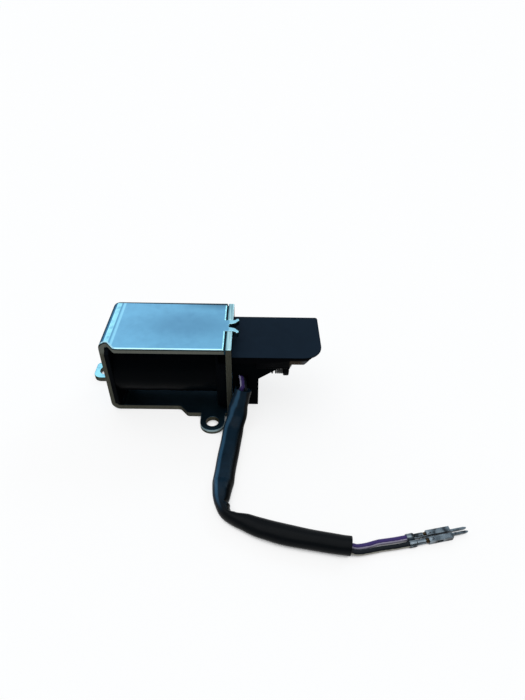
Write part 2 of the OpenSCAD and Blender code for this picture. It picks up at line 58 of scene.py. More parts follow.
def linear(code):
    """sRGB hex to linear RGBA: ((c + 0.055) / 1.055) to the power 2.4 for each channel, c / 12.92 near black."""
    c = np.array([int(code[i : i + 2], 16) for i in (1, 3, 5)]) / 255
    return (*np.where(c > 0.04045, ((c + 0.055) / 1.055) ** 2.4, c / 12.92), 1.0)


def add(tree, kind, feeds=(), **settings):
    """One shader node. Settings are its properties; feeds gives a socket its value or the socket that drives it."""
    made = tree.nodes.new("ShaderNode" + kind)
    for name, value in settings.items():
        setattr(made, name, value)
    for socket, value in dict(feeds).items():
        if isinstance(value, bpy.types.NodeSocket):
            tree.links.new(value, made.inputs[socket])
        else:
            made.inputs[socket].default_value = value
    return made


def bare_material(name):
    """A material of that name with an empty node tree."""
    made = bpy.data.materials.new(name)
    made.use_nodes = True
    made.node_tree.nodes.clear()
    return made, made.node_tree


def ramp(value, low, high, to_low=0.0, to_high=1.0, kind="SMOOTHSTEP"):
    """A value carried over from the range low to high to the range to_low to to_high, and held beyond its ends."""
    feeds = {0: value, 1: low, 2: high, 3: to_low, 4: to_high}
    return add(value.id_data, "MapRange", feeds, interpolation_type=kind).outputs[0]


def joined(operation, *values):
    """Two or more values made into one, from the first to the last, by a sum, a product or whatever operation says."""
    result = values[0]
    for value in values[1:]:
        result = add(result.id_data, "Math", {0: result, 1: value}, operation=operation).outputs[0]
    return result


def times(*values):
    """Product of two or more values."""
    return joined("MULTIPLY", *values)


def most(*values):
    """Greatest of two or more values."""
    return joined("MAXIMUM", *values)


def size_of(value):
    """A value without its sign."""
    return add(value.id_data, "Math", {0: value}, operation="ABSOLUTE").outputs[0]


def blend(share, first, second):
    """Two colours mixed, by the share of the second. Each is a hex code, a linear colour or a socket."""
    first, second = (linear(c) if isinstance(c, str) else c for c in (first, second))
    return add(share.id_data, "Mix", {0: share, 6: first, 7: second}, data_type="RGBA").outputs[2]


def stretched(place, scale, location=(0, 0, 0)):
    """A place with each axis times its scale, then moved. Noise read there is drawn out where the scale is small."""
    return add(place.id_data, "Mapping", {"Vector": place, "Location": location, "Scale": scale}).outputs[0]


def noise(place, grain, detail, distortion=0.0):
    """Noise from 0 to 1 whose coarsest lumps are about one grain apart, in millimetres."""
    feeds = {"Vector": place, "Scale": 1 / (grain * MM), "Detail": detail, "Distortion": distortion}
    return add(place.id_data, "TexNoise", feeds).outputs[0]


def surface(tree, looks, height, strength, depth):
    """The material's one surface, with these looks and a bump that is depth millimetres high at full strength."""
    bump = add(tree, "Bump", {"Height": height, "Strength": strength, "Distance": depth * MM}).outputs[0]
    shader = add(tree, "BsdfPrincipled", {**looks, "Normal": bump})
    add(tree, "OutputMaterial", {0: shader.outputs[0]})


def softened(name, solid, round_mm, body, material, segments=3, share=None, merge=0.001, trim=None):
    """A copy of a CAD solid as it leaves the tool: doubles merged, corners trimmed, flat triangles joined to whole
    faces, and every edge that turns by more than 32 degrees rounded by a bevel. Its radius is the given one times the
    share at that edge. Trim gives a corner's new height."""
    mesh = bpy.data.meshes.new(name)
    shape = bmesh.new()
    shape.from_mesh(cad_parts[solid].data)
    bmesh.ops.remove_doubles(shape, verts=shape.verts, dist=merge * MM)
    for corner in shape.verts if trim else ():
        corner.co.z = trim(*(corner.co / MM)) * MM
    bmesh.ops.dissolve_limit(shape, angle_limit=np.radians(0.4), verts=shape.verts, edges=shape.edges)
    weight = shape.edges.layers.float.new("bevel_weight_edge")
    for edge in shape.edges:
        if len(edge.link_faces) == 2 and edge.calc_face_angle() > np.radians(32):
            middle = (edge.verts[0].co + edge.verts[1].co) / (2 * MM)
            edge[weight] = share(*middle) if share else 1.0
    shape.to_mesh(mesh)
    shape.free()
    if "custom_normal" in mesh.attributes:
        mesh.attributes.remove(mesh.attributes["custom_normal"])
    mesh.shade_smooth()
    mesh.materials.clear()
    mesh.materials.append(material)
    piece = bpy.data.objects.new(name, mesh)
    bpy.context.scene.collection.objects.link(piece)
    edge = piece.modifiers.new("rounded edges", "BEVEL")
    edge.width = round_mm * MM
    edge.segments = segments
    edge.limit_method = "WEIGHT"
    edge.use_clamp_overlap = False
    edge.harden_normals = True
    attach(piece, body)
    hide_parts(solid)
    return piece


def strip_roll(x, y, z):
    """Share of the die roll at an edge of the strip: all of it round the top, where the blanking die pulled the edge
    down, falling to a fifth on the left wall, at the tabs, at the back and below, and a tenth on the inner side and at
    the ear's slit."""
    lower, upper = BEND_R, FRAME_H - BEND_R
    from_bend = min(np.hypot(x - BEND_X, z - upper), np.hypot(x - BEND_X, z - lower))
    curved = x < BEND_X and (z > upper or z < lower)
    flat = z < 0.05 or z > FRAME_H - 0.05 or x < BEND_X - BEND_R + 0.05
    outer = from_bend > BEND_R - 0.1 if curved else flat
    if not outer or (abs(x - BEND_X) < 0.2 and SLIT_Y[0] < y < SLIT_Y[1]):
        return 0.1
    return 0.2 if x > 20.3 or y > 13.4 else np.interp(z, [26.0, 31.9], [0.2, 1.0])


def zinc_plate(name, far_x, bend_x, cut_top):
    """Bright zinc with a blue passivate over rolled steel: a cool mirror blurred by fine rolling lines, with faint
    handling marks. Where the sheet was sheared it is grey-brown, partly a painted reflection of the warm room in front,
    and scored across its thickness: upright faces that look to the front or back, and sideways beyond the X values in
    far_x. A rolled edge has a painted highlight above, most of all at the right end, and painted shade below. The bend
    at bend_x has painted shade on its outside, a painted highlight above, and a painted dark line and a painted bright
    line beside it. The plate also has painted shade in the middle and at the back right corner. Cut_top says that the
    upper edge is a sheared one too, painted pale as lit from above."""
    # The colour #14181b is painted shade where a rolled edge or the burr side looks down; #17323e is painted shade in
    # the gaps at the end plate.
    shade_dark, punched, lip_dark, gap_shade = "#14181b", "#3a382c", "#24241e", "#17323e"
    made, tree = bare_material(name)
    place = add(tree, "TexCoord").outputs
    facing = add(tree, "SeparateXYZ", {0: place["Normal"]}).outputs
    at = add(tree, "SeparateXYZ", {0: place["Object"]}).outputs

    upright = ramp(size_of(facing["Z"]), 0.5, 0.3)
    front = times(ramp(facing["Y"], -0.2, -0.45), upright)
    back = ramp(facing["Y"], 0.25, 0.6)
    left = ramp(at["X"], (far_x[0] + 0.05) * MM, (far_x[0] - 0.05) * MM)
    right = ramp(at["X"], (far_x[1] - 0.05) * MM, (far_x[1] + 0.05) * MM)
    ahead = ramp(at["Y"], (EAR_Y + 0.05) * MM, (EAR_Y - 0.05) * MM)
    side = times(ramp(size_of(facing["X"]), 0.6, 0.85), most(left, right, ahead))
    cut = most(front, back, side)

    # Handling marks are about 9 mm across, the haze between them about 2.5 mm.
    marks = ramp(noise(place["Object"], 9, 4, 0.6), 0.38, 0.7, kind="LINEAR")
    haze = noise(place["Object"], 2.5, 5)
    # Rolling lines run along the strip; they are 0.05 mm apart and drawn at 0.25 mm to show.
    lines = noise(stretched(place["Object"], (0.04, 1, 0.04)), 0.25, 2)
    # Shear scores cross the sheet and are about 0.3 mm apart.
    scores = noise(stretched(place["Object"], (1, 1, 0.12)), 0.3, 3)

    plate = blend(marks, "#6fb0d6", "#629cc2")
    plate = blend(haze, plate, "#79bbdf")
    # The plate has painted shade in an oval round the middle, and towards the back right corner.
    oval = stretched(place["Object"], (50, 110, 0), (-0.3, 0, 0))
    middle = ramp(add(tree, "VectorMath", {0: oval}, operation="LENGTH").outputs["Value"], 1.2, 0.2, 0, 0.6)
    plate = blend(middle, plate, "#5a8fb4")
    plate = blend(times(ramp(at["X"], 0, 18 * MM, 0, 0.6), ramp(at["Y"], 8 * MM, 13 * MM)), plate, "#3d6a86")
    # The bend: a painted highlight above it, painted shade on its outside, and a painted dark line and a painted bright
    # line beside it.
    above = times(ramp(at["X"], (bend_x + 0.75) * MM, (bend_x + 0.55) * MM), ramp(facing["Z"], 0.5, 0.7))
    above = times(above, ramp(facing["X"], -0.36, -0.3), ramp(haze, 0.3, 0.55, 0.25, 0.9))
    plate = blend(above, plate, "#9fe9f8")
    outside = times(ramp(facing["X"], -0.28, -0.36), ramp(facing["X"], -0.99, -0.95))
    plate = blend(outside, plate, blend(ramp(facing["X"], -0.36, -0.75), "#44789c", "#22323d"))
    for offset, half, tone in ((0.95, 0.25, "#5a94b8"), (1.8, 0.6, "#98ddf7")):
        away = size_of(add(tree, "Math", {0: at["X"], 1: (bend_x + offset) * MM}, operation="SUBTRACT").outputs[0])
        plate = blend(ramp(away, half * MM, 0.4 * half * MM, 0, 0.75), plate, tone)
    # The rolled edge has a painted highlight above, brightest at the right end, and painted shade below; a painted
    # shade line runs along the back edge and widens to the right.
    outward = most(ramp(facing["Y"], -0.05, -0.2), ramp(facing["X"], 0.05, 0.2))
    outward = times(outward, ramp(at["Z"], 20 * MM, 25 * MM))
    bright = times(outward, ramp(facing["Z"], 0.995, 0.93), ramp(facing["Z"], 0.45, 0.65))
    plate = blend(bright, plate, "#abdaea")
    tail = times(ramp(facing["X"], 0.02, 0.1), ramp(facing["Z"], 0.45, 0.65), ramp(at["Z"], 30 * MM, 31 * MM))
    plate = blend(tail, plate, "#b4f4ff")
    plate = blend(times(outward, ramp(facing["Z"], 0.7, 0.5)), plate, shade_dark)
    slant = add(tree, "Math", {0: at["X"], 1: 0.014, 2: at["Y"]}, operation="MULTIPLY_ADD").outputs[0]
    shaded = times(ramp(slant, 12.4 * MM, 12.8 * MM, 0, 0.95), ramp(facing["Z"], 0.3, 0.6))
    plate = blend(shaded, plate, "#172c38")

    # The sheared faces are grey-brown, partly a painted reflection of the warm room in front, painted paler near the
    # top of the strip as lit from above, and given painted shade where the rolled edge on them looks down and where
    # they look back. The front ear's edge is dark below and has a pale painted highlight above.
    shear = blend(scores, "#26261f", "#58594f")
    if not cut_top:
        shear = blend(ramp(at["Z"], 26 * MM, 28 * MM, 0, 0.25), shear, "#8c938e")
    shear = blend(times(outward, ramp(facing["Z"], 0.03, 0.15, 0, 0.8)), shear, shade_dark)
    rim = blend(ramp(at["Z"], 0.8 * MM, 1.3 * MM), "#3f4036", "#869a9d")
    shear = blend(times(ahead, ramp(at["Z"], 3 * MM, 2.5 * MM)), shear, rim)
    shear = blend(back, shear, "#1b2a33")
    # The punched wall of the front ear's hole, a darker lip along the front of the bottom's inner side, and painted
    # shade on the burr side, which looks down.
    from_hole = stretched(place["Object"], (1, 1, 0), (-EAR_HOLE[0] * MM, -EAR_HOLE[1] * MM, 0))
    from_hole = add(tree, "VectorMath", {0: from_hole}, operation="LENGTH").outputs["Value"]
    bored = ramp(from_hole, (EAR_HOLE_R + 0.35) * MM, (EAR_HOLE_R + 0.15) * MM)
    bored = times(bored, ramp(size_of(facing["Z"]), 0.8, 0.5))
    lip = times(ramp(facing["Y"], -0.1, -0.3), ramp(facing["Z"], 0.1, 0.3), ramp(at["Z"], 5 * MM, 4 * MM))
    lip = times(lip, ramp(at["Y"], (EAR_Y - 0.1) * MM, EAR_Y * MM))
    burr = times(ramp(facing["Z"], -0.1, -0.35), ramp(facing["Y"], -0.1, -0.3))
    for share, tone in ((bored, punched), (lip, lip_dark), (burr, shade_dark)):
        shear = blend(share, shear, tone)
        plate = blend(share, plate, tone)
    colour = blend(cut, plate, shear)
    if cut_top:
        # The upper edge is drawn out in streaks along Y and painted pale where it looks up, as lit from above; its
        # inner side has painted shade where it meets the strip.
        streak = noise(stretched(place["Object"], (1, 0.03, 0)), 0.7, 2)
        streak = blend(ramp(streak, 0.35, 0.65), "#6a9aa8", "#b6e2ea")
        colour = blend(ramp(facing["Z"], 0.25, 0.5), colour, streak)
        inner = times(ramp(facing["X"], -0.3, -0.6), ramp(at["Z"], 29.5 * MM, 30.5 * MM))
        colour = blend(inner, colour, gap_shade)
    else:
        # The tops of the tabs have a painted highlight. The groove at the end plate has painted shade, and so do the
        # faces that look up inside the bottom and on the ears, where they mirror the dark coil.
        level = ramp(facing["Z"], 0.6, 0.85)
        colour = blend(times(ramp(at["X"], 20.8 * MM, 21.6 * MM, 0, 0.7), level), colour, "#a9e6f6")
        groove = times(ramp(at["X"], 19.95 * MM, 20.1 * MM), ramp(at["Z"], 31.65 * MM, 31.45 * MM))
        colour = blend(times(groove, ramp(at["Z"], 29 * MM, 29.5 * MM)), colour, gap_shade)
        deep = times(ramp(at["Z"], 17 * MM, 15 * MM, 0, 0.8), level, ramp(at["X"], -23 * MM, -22 * MM))
        colour = blend(deep, colour, "#141d24")
    # The painted-shade patches and the darker lip don't shine.
    bare = add(tree, "Math", {0: 1.0, 1: most(outside, shaded, lip, burr)}, operation="SUBTRACT").outputs[0]
    rough = add(tree, "Mix", {0: cut, 2: ramp(marks, 0, 1, 0.3, 0.37, "LINEAR"), 3: 0.5}).outputs[0]
    height = add(tree, "Mix", {0: cut, 2: lines, 3: scores}).outputs[0]
    looks = {"Base Color": colour, "Metallic": bare, "Specular IOR Level": bare, "Roughness": rough}
    surface(tree, looks, height, 0.07, 0.05)
    return made


strip_zinc = zinc_plate("blue zinc plate on bent strip", (-22.6, 19.9), BEND_X, False)
softened(
    "bent_frame", "yoke_frame", DIE_ROLL, "frame", strip_zinc, segments=5, share=strip_roll, merge=0.06
)

# End plate.
# A flat blank of the same steel and plating. It is pushed over the strip's two tabs, which are
# split and spread behind it, and it has a slot for the bolt.

plate_zinc = zinc_plate("blue zinc plate on flat blank", (-90, 90), -90, True)
softened("end_plate_blank", "end_plate", 0.25, "frame", plate_zinc)

# Bobbin.
# A spool moulded in black glass-filled nylon, with a flange at each end. It is gripped between
# the left wall and the end plate.


def moulded_nylon(name, colour, bloom, roughness, shine, nose_sheen_x=None):
    """Moulded glass-filled nylon: near black, with a fine spark-eroded texture and a dull bloom on the faces that look
    up, which is partly a painted sheen of the sky. The texture is 0.12 mm and is drawn at 0.3 mm to show; the flow
    marks are about 6 mm. Past the X given as the last argument, the front has a painted reflection of the floor from 24
    to 26 mm up, brown at first and grey round the corner."""
    made, tree = bare_material(name)
    place = add(tree, "TexCoord").outputs
    facing = add(tree, "SeparateXYZ", {0: place["Normal"]}).outputs
    texture = noise(place["Object"], 0.3, 3)
    flow = noise(place["Object"], 6, 4, 0.8)
    # The bloom on faces that look up is partly a painted sheen of the sky.
    bloom_and_sheen = times(ramp(flow, 0.3, 0.75, 0.85, 1.0, "LINEAR"), ramp(facing["Z"], 0.3, 0.95))
    tint = blend(bloom_and_sheen, colour, bloom)
    if nose_sheen_x is not None:
        # Painted reflection of the floor on the band under the nose, 24 to 26 mm up on the front: brown at first, grey
        # round the corner.
        at = add(tree, "SeparateXYZ", {0: place["Object"]}).outputs
        nose_sheen = ramp(at["X"], nose_sheen_x * MM, (nose_sheen_x + 0.5) * MM, kind="LINEAR")
        nose_sheen = times(nose_sheen, ramp(at["Z"], 26.4 * MM, 25.6 * MM), ramp(at["Z"], 23.8 * MM, 24.4 * MM))
        nose_sheen = times(nose_sheen, ramp(facing["Y"], -0.2, -0.5))
        turned_away = ramp(at["X"], (nose_sheen_x + 3.5) * MM, (nose_sheen_x + 5.5) * MM, kind="LINEAR")
        tint = blend(nose_sheen, tint, blend(turned_away, "#3d352c", "#5b5c60"))
    rough = ramp(flow, 0.3, 0.7, roughness - 0.05, roughness + 0.08, "LINEAR")
    looks = {"Base Color": tint, "Roughness": rough, "IOR": 1.52, "Specular IOR Level": shine}
    surface(tree, looks, texture, 0.25, 0.03)
    return made


spool_nylon = moulded_nylon("black glass-filled nylon", "#040609", "#0a0f14", 0.55, 0.015)


def spool_round(x, y, z):
    """Share of the rounding at an edge of the spool: none in the pin pocket at the front of the right flange."""
    return 0.0 if x > 17.2 and y < 0 else 1.0


softened("spool", "bobbin", 0.25, "frame", spool_nylon, share=spool_round)

# Winding and its tape.
# Enamelled copper wire, wound in close layers on the spool and covered with one and a half
# turns of black polyester tape that ends in a lap.

COIL_X = (-18.85, 16.85)
COIL_R = 11.5
COIL_Z = 16.0
TAPE_T = 0.09
TAPE_INSIDE_R = COIL_R - 0.55
# The bands of the wave texture are this far apart at a scale of 1.
WAVE_PERIOD = 0.314


def lattice(name, points, material, round_rows=False, round_columns=True, ends=False):
    """A surface from a grid of points: row i, column k is joined to the next of each, and a round direction also
    joins its last to its first. Ends closes the first and last row with a flat face."""
    rows, columns = points.shape[:2]
    i = np.arange(rows if round_rows else rows - 1)[:, None]
    k = np.arange(columns if round_columns else columns - 1)[None, :]
    j, m = (i + 1) % rows, (k + 1) % columns
    quads = np.stack([i * columns + k, i * columns + m, j * columns + m, j * columns + k], -1).reshape(-1, 4)
    faces = quads.tolist()
    if ends:
        faces += [np.arange(columns)[::-1].tolist(), ((rows - 1) * columns + np.arange(columns)).tolist()]
    mesh = bpy.data.meshes.new(name)
    mesh.from_pydata(points.reshape(-1, 3), [], faces)
    shape = bmesh.new()
    shape.from_mesh(mesh)
    bmesh.ops.remove_doubles(shape, verts=shape.verts, dist=0.0005 * MM)
    bmesh.ops.recalc_face_normals(shape, faces=shape.faces)
    shape.to_mesh(mesh)
    shape.free()
    mesh.shade_smooth()
    mesh.set_sharp_from_angle(angle=np.radians(50))
    mesh.materials.append(material)
    piece = bpy.data.objects.new(name, mesh)
    bpy.context.scene.collection.objects.link(piece)
    return piece


def tape_wrap():
    """Tape on a coil: at angle a the radius is the coil's less one tape thickness for each turn still to come, so that
    it steps up at the lap; it dips by 0.12 mm along its length where the wire layers end. The grid runs along X
    and round, out over the tape and back along its inner side."""
    lap_at, steps = -2.0, 181
    a = np.linspace(0, 2 * np.pi, steps) + lap_at
    turn = np.linspace(0, 1, steps)
    x = np.linspace(COIL_X[0], COIL_X[1], 60)
    share = (x - x[0]) / (x[-1] - x[0])
    sag = 0.06 * (np.cos(2 * np.pi * share * 3 + 0.7) - 1)
    r = COIL_R - TAPE_T * (1 - turn)[None, :] + sag[:, None]
    outer = np.stack([x[:, None] + 0 * r, r * np.cos(a), COIL_Z + r * np.sin(a)], -1)
    inner = outer[::-1].copy()
    inner[..., 1], inner[..., 2] = TAPE_INSIDE_R * np.cos(a), COIL_Z + TAPE_INSIDE_R * np.sin(a)
    return np.concatenate([outer, inner]) * MM


def dress(solid, material):
    """Puts a material on a CAD solid that is shown as it is."""
    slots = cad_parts[solid].data.materials
    slots.clear()
    slots.append(material)


tape, tree = bare_material("black polyester tape")
place = add(tree, "TexCoord").outputs["Object"]
# The wire turns under the tape are 0.25 mm apart and are drawn at 0.6 mm to show.
ribs = {"Vector": place, "Scale": WAVE_PERIOD / (0.6 * MM), "Distortion": 0.6, "Detail": 1}
ribs = add(tree, "TexWave", ribs).outputs[1]
crease = noise(place, 4, 4, 1.0)
rough = ramp(crease, 0.3, 0.7, 0.28, 0.42, "LINEAR")
looks = {"Base Color": linear("#030507"), "Roughness": rough, "IOR": 1.57, "Specular IOR Level": 0.012}
surface(tree, looks, joined("ADD", ribs, crease), 0.2, 0.04)
wrap = lattice("coil_tape_wrap", tape_wrap(), tape, round_rows=True, round_columns=False)
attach(wrap, "frame")
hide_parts("coil_wrap")

enamel, tree = bare_material("enamelled copper wire")
place = add(tree, "TexCoord").outputs["Object"]
turns = add(tree, "TexWave", {"Vector": place, "Scale": WAVE_PERIOD / (0.5 * MM)}).outputs[1]
tint = blend(turns, "#6b2f14", "#b5622f")
surface(tree, {"Base Color": tint, "Metallic": 1.0, "Roughness": 0.3}, turns, 0.6, 0.1)
dress("coil_winding", enamel)

# Guide sleeve, fixed core and plunger.
# A drawn brass tube lines the spool. The turned steel core is riveted to the left wall with a
# domed head, and the turned plunger slides in the tube and ends in a grooved neck.


def machined(name, metal, low, high, roughness):
    """Turned or drawn metal: fine rings round the X axis, 0.08 mm apart and drawn at 0.3 mm to show, and a faint
    stain."""
    made, tree = bare_material(name)
    place = add(tree, "TexCoord").outputs["Object"]
    rings = noise(stretched(place, (1, 0.02, 0.02)), 0.3, 2)
    stain = noise(place, 3, 4)
    rough = ramp(stain, 0.3, 0.7, roughness - 0.06, roughness + 0.1, "LINEAR")
    surface(tree, {"Base Color": blend(stain, low, high), "Metallic": metal, "Roughness": rough}, rings, 0.15, 0.04)
    return made


brass = machined("drawn brass", 1.0, "#a8823a", "#d2ae63", 0.3)
dress("guide_sleeve", brass)
steel = machined("turned steel", 1.0, "#8d9194", "#b9bdbf", 0.3)


def turned(name, profile, material):
    """A turned piece about the coil's axis: the point of the profile at (x, r) goes round as (x, r cos a, r sin a)."""
    x, r = (np.array(c)[:, None] for c in zip(*profile))
    a = np.linspace(0, 2 * np.pi, 72, endpoint=False)[None, :]
    points = np.stack([x + 0 * a, r * np.cos(a), COIL_Z + r * np.sin(a)], -1) * MM
    return lattice(name, points, material)


HEAD_X, HEAD_R, HEAD_DOME = -23.2, 3.2, 0.45
head = [(HEAD_X + HEAD_DOME * (1 - np.cos(t)), HEAD_R * np.sin(t)) for t in np.linspace(0, np.pi / 2, 9)]
core = turned(
    "riveted_core",
    head + [(-22.5, HEAD_R), (-22.5, 2.5), (-20.5, 2.5), (-20.5, 4.0), (-8.4, 4.0), (-8.0, 3.6), (-8.0, 0)],
    steel,
)
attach(core, "frame")
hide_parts("fixed_core")

slug = turned(
    "grooved_plunger",
    [(-3.9, 0), (-3.9, 3.6), (-3.5, 4.0), (18.9, 4.0), (19.2, 3.7), (19.2, 2.5), (40.6, 2.5), (40.8, 2.3)]
    + [(40.8, 1.5), (42.9, 1.5), (42.9, 2.0), (43.1, 2.2), (43.7, 2.2), (44.0, 1.9), (44.0, 0)],
    steel,
)
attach(slug, "bolt")
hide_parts("plunger")

# Rubber parts.
# A disc on the core and a ring on the plunger stop the bolt softly at each end, and a bush
# takes the leads through the end plate. All are moulded in black rubber.

rubber, tree = bare_material("moulded black rubber")
bloom = noise(add(tree, "TexCoord").outputs["Object"], 1.5, 4)
tint = blend(bloom, "#101112", "#232526")
surface(tree, {"Base Color": tint, "Roughness": 0.75, "IOR": 1.52}, bloom, 0.2, 0.03)
for solid in ("pull_damper", "rest_damper", "wire_grommet"):
    dress(solid, rubber)

# Nose guide.
# A block of the same black nylon, pegged to the end plate. Its bore carries the plunger's neck,
# its wall holds the spring's end and its bridge passes the leads.

guide_nylon = moulded_nylon("matt black nylon", "#020406", "#0a1016", 0.6, 0.008)


def guide_round(x, y, z):
    """Share of the rounding at an edge of the guide: none round the hole for the bush."""
    return 0.0 if x < 24.7 and y < -5 and 16 < z < 21 else 1.0


softened("pegged_guide", "nose_guide", 0.2, "frame", guide_nylon, share=guide_round)

# Lock bolt.
# A flat bolt moulded in satin black nylon, with a rounded latch corner, two skirts that slide
# on the guide and a slotted bulkhead hooked in the plunger's groove.

LATCH_AT, LATCH_R = (46.6, -5), 6.8
# Its top's bloom is partly a painted sheen, and past 42 mm its front has a painted reflection of the floor under the
# nose.
bolt_nylon = moulded_nylon("satin black nylon", "#020305", "#15212d", 0.42, 0.01, nose_sheen_x=42)


def bolt_round(x, y, z):
    """Share of the rounding at an edge of the bolt: half of it round the top, and none under the latch nose, whose land
    is thin."""
    return 0.5 if z > 27.2 else 0.0 if x > 44 and z > 24 else 1.0


def latch_trim(x, y, z):
    """Height of a corner on the latch arc: the bevel under the nose runs on round the arc and ends between 66 and 85
    degrees from the nose."""
    out, ahead = x - LATCH_AT[0], LATCH_AT[1] - y
    turn = np.degrees(np.arctan2(ahead, out))
    on_arc = abs(np.hypot(out, ahead) - LATCH_R) < 0.05 and 0 <= turn <= 90
    return max(z, np.interp(turn, [66, 85], [26.9, 24.5])) if on_arc else z


softened(
    "latch_bolt", "lock_bolt", 0.35, "bolt", bolt_nylon, segments=4, share=bolt_round, trim=latch_trim
)

# Return spring.
# Spring wire coloured near black, wound with closed turns at both ends. It sits between the guide's wall and the bolt's
# bulkhead and shortens as the bolt is pulled in.

SPRING_X = (31.7, 40.8)
SPRING_WIRE = 0.7
SPRING_R = (8.8 - SPRING_WIRE) / 2, (9.6 - SPRING_WIRE) / 2
SPRING_OPEN = 4
SPRING_CLOSED = (1, 3.1)


def bearings(path):
    """The heading at each point of a path, and the level direction to its left, both of length 1."""
    heading = np.gradient(path, axis=0)
    heading /= np.linalg.norm(heading, axis=1, keepdims=True)
    left = np.stack([-heading[:, 1], heading[:, 0], np.zeros(len(path))], -1)
    return heading, left / np.linalg.norm(left, axis=1, keepdims=True)


def circle(radius, points):
    """Points evenly round a circle: p is the radius times the cosine of the angle, q the radius times its sine."""
    a = np.linspace(0, 2 * np.pi, points, endpoint=False)
    return radius * np.stack([np.cos(a), np.sin(a)], -1)


def carried(path, profile, first=None):
    """A profile carried along a path: at each point of the path the profile's (p, q) goes p along a side direction and
    q along the third one. The side direction is level and to the left of the heading unless it is given."""
    heading, left = bearings(path)
    first = left if first is None else first
    first = first - np.sum(first * heading, 1, keepdims=True) * heading
    first /= np.linalg.norm(first, axis=1, keepdims=True)
    second = np.cross(heading, first)
    return path[:, None] + profile[..., :1] * first[:, None] + profile[..., 1:] * second[:, None]


def spring_wire():
    """A helix whose lead follows the turns: a closed turn on the guide at a wire's pitch, open turns at an even pitch,
    and closed turns on the bolt, where it is a little wider."""
    last = SPRING_CLOSED[0] + SPRING_OPEN + SPRING_CLOSED[1]
    turn = np.linspace(0, last, int(48 * last) + 1)
    closed = 1.05 * SPRING_WIRE
    whole = SPRING_X[1] - SPRING_X[0] - SPRING_WIRE
    knots = [0, SPRING_CLOSED[0], last - SPRING_CLOSED[1], last]
    x = np.interp(turn, knots, [0, closed * SPRING_CLOSED[0], whole - closed * SPRING_CLOSED[1], whole])
    a = 2 * np.pi * (turn - last) - np.radians(90)
    away = np.stack([0 * a, np.cos(a), np.sin(a)], -1)
    axis = np.stack([SPRING_X[0] + SPRING_WIRE / 2 + x, 0 * a, COIL_Z + 0 * a], -1)
    path = axis + np.interp(x, [1.5, 4.0], SPRING_R)[:, None] * away
    return carried(path, circle(SPRING_WIRE / 2, 14), first=away) * MM


wire_steel = machined("near-black spring wire", 0.3, "#060708", "#15181a", 0.5)
spring = lattice("coiled_spring", spring_wire(), wire_steel, ends=True)
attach(spring, "frame")
# It is 9.1 mm long, and 3.5 mm shorter with the bolt pulled in.
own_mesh(spring)
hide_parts("return_spring")

# Coil pins.
# Two pins stamped from brass with dull tin plate, rubbed dark in patches about 2.5 mm across. They
# are pressed into the spool's right flange, and the winding and the leads end on them.

tin, tree = bare_material("tin plate on stamped brass")
rubbed = ramp(noise(add(tree, "TexCoord").outputs["Object"], 2.5, 3), 0.35, 0.68)
tint = blend(rubbed, "#262b2f", "#7a868f")
rough = ramp(rubbed, 0, 1, 0.38, 0.22, "LINEAR")
surface(tree, {"Base Color": tint, "Metallic": 1.0, "Roughness": rough}, rubbed, 0.1, 0.03)
dress("coil_pins", tin)

# Sleeve over the leads.
# A soft extruded vinyl tube, cut square at both ends. It hangs from the guide to the floor, lies
# along it and has buckled on the inside of its one tight bend.

SLEEVE_W, SLEEVE_H = 6.3, 5.5
SLEEVE_WALL = 0.5
# The route of the leads from the bush to the terminals, in millimetres, and how far the soft sleeve leans to its left.
ROUTE = np.array(
    [
        [19.0, -7.4, 18.6], [23.4, -7.4, 18.6], [24.7, -7.6, 18.093], [25.6, -8.5, 16.967], [26.15, -10.2, 15.858],
        [26.4, -11.9, 14.907], [26.5, -13.1, 13.845], [25.9, -14.5, 10.675], [25.1, -15.8, 7.727],
        [24.3, -17.8, 4.779], [23.4, -20.8, 3.162], [22.8, -24.0, 2.75], [22.2, -29.5, 2.75], [21.8, -35.5, 2.75],
        [21.4, -41.4, 2.75], [21.0, -46.0, 2.75], [20.8, -49.0, 2.75], [21.1, -51.8, 2.75], [22.2, -54.5, 2.75],
        [24.4, -57.1, 2.75], [28.0, -58.9, 2.75], [32.5, -60.3, 2.75], [38.3, -61.8, 2.75], [44.1, -62.9, 2.75],
        [49.8, -64.0, 2.75], [55.4, -65.0, 2.75], [58.5, -65.4, 2.75], [60.5, -65.4, 2.383], [63.5, -65.0, 1.555],
        [67.5, -64.2, 1.096], [72.5, -63.4, 1.05], [77.9, -62.3, 1.05],
    ]
)
ROUTE_STEPS = 12
LEAN = np.zeros(len(ROUTE))
LEAN[6:11] = -0.1, -0.45, -0.45, -0.15, -0.2
LEAN[13:23] = -0.28, -0.43, -0.37, -0.26, -0.3, -0.3, 0.45, 1.0, 0.6, 0.3
LEAN[23:29] = 0.1, 0.1, 0.15, 0.1, -0.3, -0.2
SLEEVE_FROM, SLEEVE_TO = 6, 26


def eased(points, steps):
    """A smooth line through points: between two of them it is the cubic whose slopes there point from the point
    before to the point after. Also gives each new point's place in the list."""
    padded = np.concatenate([2 * points[:1] - points[1:2], points, 2 * points[-1:] - points[-2:-1]])
    t = np.linspace(0, 1, steps, endpoint=False)[None, :, None]
    a, b, c, d = (padded[k : len(padded) - 3 + k, None] for k in range(4))
    line = 0.5 * (2 * b + (c - a) * t + (2 * a - 5 * b + 4 * c - d) * t**2 + (3 * b - a - 3 * c + d) * t**3)
    index = np.arange(len(points) - 1)[:, None] + t[..., 0]
    return np.concatenate([line.reshape(-1, 3), points[-1:]]), np.append(index.ravel(), len(points) - 1)


def leaned(points, shift):
    """Points moved level and to the left of their heading, each by its shift: the soft sleeve doesn't keep to the
    route."""
    return points + shift[:, None] * bearings(points)[1]


route, route_index = eased(leaned(ROUTE, LEAN), ROUTE_STEPS)


def bell(s, middle, width):
    """Bell curve: e to the power of minus the square of the distance from the middle over the width."""
    return np.exp(-(((s - middle) / width) ** 2))


